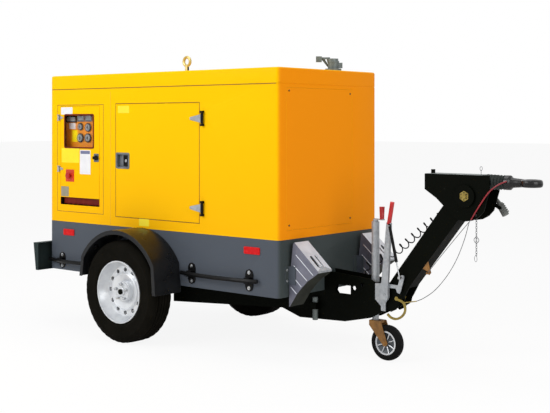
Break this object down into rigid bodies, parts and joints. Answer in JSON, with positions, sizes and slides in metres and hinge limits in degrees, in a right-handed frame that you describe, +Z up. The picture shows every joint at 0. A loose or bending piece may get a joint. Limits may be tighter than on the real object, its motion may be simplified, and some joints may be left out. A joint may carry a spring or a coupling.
{
  "type": "towable diesel generator",
  "caption": "Canopied diesel generator on a single-axle road trailer with mudguards, an articulated overrun drawbar, a jockey wheel, a parking brake lever and wheel chocks.",
  "frame": {"origin": "centre of the whole object on the ground, under the middle of its length and width", "axes": "+X towards the towing eye, +Y to the side away from the control panel, +Z up"},
  "size_m": [3.5402, 1.439, 1.854],
  "materials": {
    "yellow_paint": "semi-gloss powder coat",
    "grey_paint": "satin paint",
    "black_paint": "semi-gloss paint",
    "black_plastic": "moulded",
    "engine_iron": "painted casting",
    "radiator_core": "finned, painted black",
    "zinc_plate": "galvanised or zinc plated",
    "gold_zinc": "yellow zinc plated",
    "silver_paint": "silver paint",
    "tyre_rubber": "rubber",
    "black_rubber": "rubber",
    "forged_black": "painted forging",
    "strut_black": "gloss paint",
    "red_plastic": "moulded",
    "panel_orange": "satin paint",
    "plug_grey": "moulded",
    "window_pane": "clear"
  },
  "bodies": {
    "chassis": {"skid_base": "grey_paint", "canopy_body": "yellow_paint", "roof_lid": "yellow_paint", "front_end_panel": "yellow_paint", "rear_end_panel": "yellow_paint", "rear_light_bar": "grey_paint", "mudguard_near": "black_plastic", "mudguard_far": "black_plastic", "axle_tube": "black_paint", "control_cabinet": "black_paint", "instrument_panel": "panel_orange", "lifting_frame": "black_paint", "engine": "engine_iron", "alternator": "engine_iron", "radiator": "radiator_core", "fuel_tank": "black_plastic", "battery": "black_plastic", "silencer": "zinc_plate", "exhaust_outlet": "black_paint", "drawbar_nose": "black_paint", "handbrake_bracket": "zinc_plate"},
    "control_door": {"control_door": "yellow_paint", "control_window": "window_pane"},
    "stop_button": {"emergency_stop": "red_plastic"},
    "door_lock": {"control_door_lock": "black_plastic"},
    "rain_cap": {"rain_cap": "black_paint"},
    "fan": {"cooling_fan": "black_plastic"},
    "drawbar": {"drawbar_arm": "black_paint", "trailer_lead_curl": "black_rubber", "breakaway_cable": "zinc_plate", "slack_cable": "zinc_plate"},
    "coupling": {"coupling_housing": "black_paint", "bellows": "black_rubber", "trailer_lead_tail": "black_rubber", "lead_plug": "plug_grey", "breakaway_sheath": "red_plastic"},
    "overrun": {"overrun_shaft": "zinc_plate", "towing_eye": "forged_black"},
    "clamp_handle": {"clamp_handle": "gold_zinc"},
    "brake_lever": {"handbrake_lever": "zinc_plate"},
    "strut_cylinder": {"gas_strut_cylinder": "strut_black"},
    "strut_rod": {"gas_strut_rod": "zinc_plate"},
    "jockey_tube": {"jockey_outer_tube": "zinc_plate"},
    "jockey_leg": {"jockey_inner_leg": "zinc_plate"},
    "jockey_crank": {"jockey_crank": "red_plastic"},
    "jockey_fork": {"jockey_fork": "gold_zinc"},
    "jockey_wheel": {"jockey_wheel": "black_rubber"},
    "support_leg": {"support_leg": "zinc_plate"},
    "service_door_near": {"service_door_near": "yellow_paint"},
    "latch_near": {"latch_paddle_near": "black_plastic"},
    "suspension_near": {"suspension_arm_near": "black_paint"},
    "wheel_near": {"wheel_rim_near": "silver_paint", "tyre_near": "tyre_rubber"},
    "chock_near": {"chock_near": "zinc_plate"},
    "service_door_far": {"service_door_far": "yellow_paint"},
    "latch_far": {"latch_paddle_far": "black_plastic"},
    "suspension_far": {"suspension_arm_far": "black_paint"},
    "wheel_far": {"wheel_rim_far": "silver_paint", "tyre_far": "tyre_rubber"},
    "chock_far": {"chock_far": "zinc_plate"}
  },
  "joints": [
    {"name": "service_door_near_hinge", "type": "hinge", "parent": "chassis", "child": "service_door_near", "pos_m": [-0.23606, -0.5075, 1.145], "axis": [0, 0, 1], "range_deg": [0, 120]},
    {"name": "latch_near_hinge", "type": "hinge", "parent": "service_door_near", "child": "latch_near", "pos_m": [-0.91486, -0.4915, 1.145], "axis": [0, 0, 1], "range_deg": [0, 30], "stiffness_Nm_per_rad": 0.3},
    {"name": "service_door_far_hinge", "type": "hinge", "parent": "chassis", "child": "service_door_far", "pos_m": [-0.23606, 0.5075, 1.145], "axis": [0, 0, -1], "range_deg": [0, 120]},
    {"name": "latch_far_hinge", "type": "hinge", "parent": "service_door_far", "child": "latch_far", "pos_m": [-0.91486, 0.4915, 1.145], "axis": [0, 0, -1], "range_deg": [0, 30], "stiffness_Nm_per_rad": 0.3},
    {"name": "control_door_hinge", "type": "hinge", "parent": "chassis", "child": "control_door", "pos_m": [-1.61506, -0.5055, 1.145], "axis": [0, 0, -1], "range_deg": [0, 110]},
    {"name": "stop_button_press", "type": "slide", "parent": "control_door", "child": "stop_button", "axis": [0, 1, 0], "range_m": [0, 0.008], "stiffness_N_per_m": 800},
    {"name": "door_lock_turn", "type": "hinge", "parent": "control_door", "child": "door_lock", "pos_m": [-1.22606, -0.4958, 1.158], "axis": [0, 1, 0], "range_deg": [0, 90]},
    {"name": "rain_cap_hinge", "type": "hinge", "parent": "chassis", "child": "rain_cap", "pos_m": [0.22628, 0.10769, 1.8], "axis": [0.641, -0.7675, 0], "range_deg": [0, 70]},
    {"name": "fan_spin", "type": "hinge", "parent": "chassis", "child": "fan", "pos_m": [-0.32806, 0, 0.9], "axis": [1, 0, 0], "continuous": true},
    {"name": "suspension_near_hinge", "type": "hinge", "parent": "chassis", "child": "suspension_near", "pos_m": [-0.62406, -0.4995, 0.3407], "axis": [0, 1, 0], "range_deg": [-12, 12], "stiffness_Nm_per_rad": 6000, "springref_deg": -10.66},
    {"name": "wheel_near_spin", "type": "hinge", "parent": "suspension_near", "child": "wheel_near", "pos_m": [-0.78406, -0.615, 0.32343], "axis": [0, 1, 0], "continuous": true},
    {"name": "chock_near_lift", "type": "slide", "parent": "chassis", "child": "chock_near", "axis": [0, 0, 1], "range_m": [0, 0.45]},
    {"name": "suspension_far_hinge", "type": "hinge", "parent": "chassis", "child": "suspension_far", "pos_m": [-0.62406, 0.4995, 0.3407], "axis": [0, 1, 0], "range_deg": [-12, 12], "stiffness_Nm_per_rad": 6000, "springref_deg": -10.66},
    {"name": "wheel_far_spin", "type": "hinge", "parent": "suspension_far", "child": "wheel_far", "pos_m": [-0.78406, 0.615, 0.32343], "axis": [0, 1, 0], "continuous": true},
    {"name": "chock_far_lift", "type": "slide", "parent": "chassis", "child": "chock_far", "axis": [0, 0, 1], "range_m": [0, 0.45]},
    {"name": "drawbar_hinge", "type": "hinge", "parent": "chassis", "child": "drawbar", "pos_m": [0.88494, 0, 0.376], "axis": [0, -1, 0], "range_deg": [-50, 10], "deforming": ["trailer_lead_curl"]},
    {"name": "coupling_hinge", "type": "hinge", "parent": "drawbar", "child": "coupling", "pos_m": [1.34105, 0, 0.99016], "axis": [0, -1, 0], "range_deg": [-10, 50]},
    {"name": "overrun_slide", "type": "slide", "parent": "coupling", "child": "overrun", "axis": [1, 0, 0], "range_m": [-0.09, 0], "deforming": ["bellows", "breakaway_sheath"]},
    {"name": "clamp_handle_hinge", "type": "hinge", "parent": "chassis", "child": "clamp_handle", "pos_m": [0.88494, -0.0558, 0.376], "axis": [0, -1, 0], "range_deg": [0, 90]},
    {"name": "brake_lever_hinge", "type": "hinge", "parent": "chassis", "child": "brake_lever", "pos_m": [0.82494, -0.0748, 0.398], "axis": [0, 1, 0], "range_deg": [0, 30]},
    {"name": "strut_top_pin", "type": "hinge", "parent": "brake_lever", "child": "strut_cylinder", "pos_m": [0.86394, -0.0923, 0.8], "axis": [0, 1, 0], "range_deg": [0, 13.5]},
    {"name": "strut_stroke", "type": "slide", "parent": "strut_cylinder", "child": "strut_rod", "axis": [-0.2246, 0, 0.9744], "range_m": [0, 0.05]},
    {"name": "jockey_clamp_slide", "type": "slide", "parent": "chassis", "child": "jockey_tube", "axis": [0, 0, 1], "range_m": [0, 0.07]},
    {"name": "jockey_leg_slide", "type": "slide", "parent": "jockey_tube", "child": "jockey_leg", "axis": [0, 0, -1], "range_m": [0, 0.16]},
    {"name": "jockey_crank_turn", "type": "hinge", "parent": "jockey_tube", "child": "jockey_crank", "pos_m": [0.71094, -0.012, 0.81], "axis": [0, 0, 1], "continuous": true},
    {"name": "jockey_swivel", "type": "hinge", "parent": "jockey_leg", "child": "jockey_fork", "pos_m": [0.71094, -0.012, 0.23], "axis": [0, 0, 1], "continuous": true},
    {"name": "jockey_wheel_spin", "type": "hinge", "parent": "jockey_fork", "child": "jockey_wheel", "pos_m": [0.79594, -0.012, 0.1041], "axis": [0, 1, 0], "continuous": true},
    {"name": "support_leg_slide", "type": "slide", "parent": "chassis", "child": "support_leg", "axis": [0, 0, -1], "range_m": [0, 0.05]}
  ],
  "couplings": [
    {"joint": "strut_top_pin", "follows": "brake_lever_hinge", "ratio": 0.433},
    {"joint": "strut_stroke", "follows": "brake_lever_hinge", "m_per_rad": 0.0894},
    {"joint": "jockey_crank_turn", "follows": "jockey_leg_slide", "rad_per_m": 1047}
  ]
}
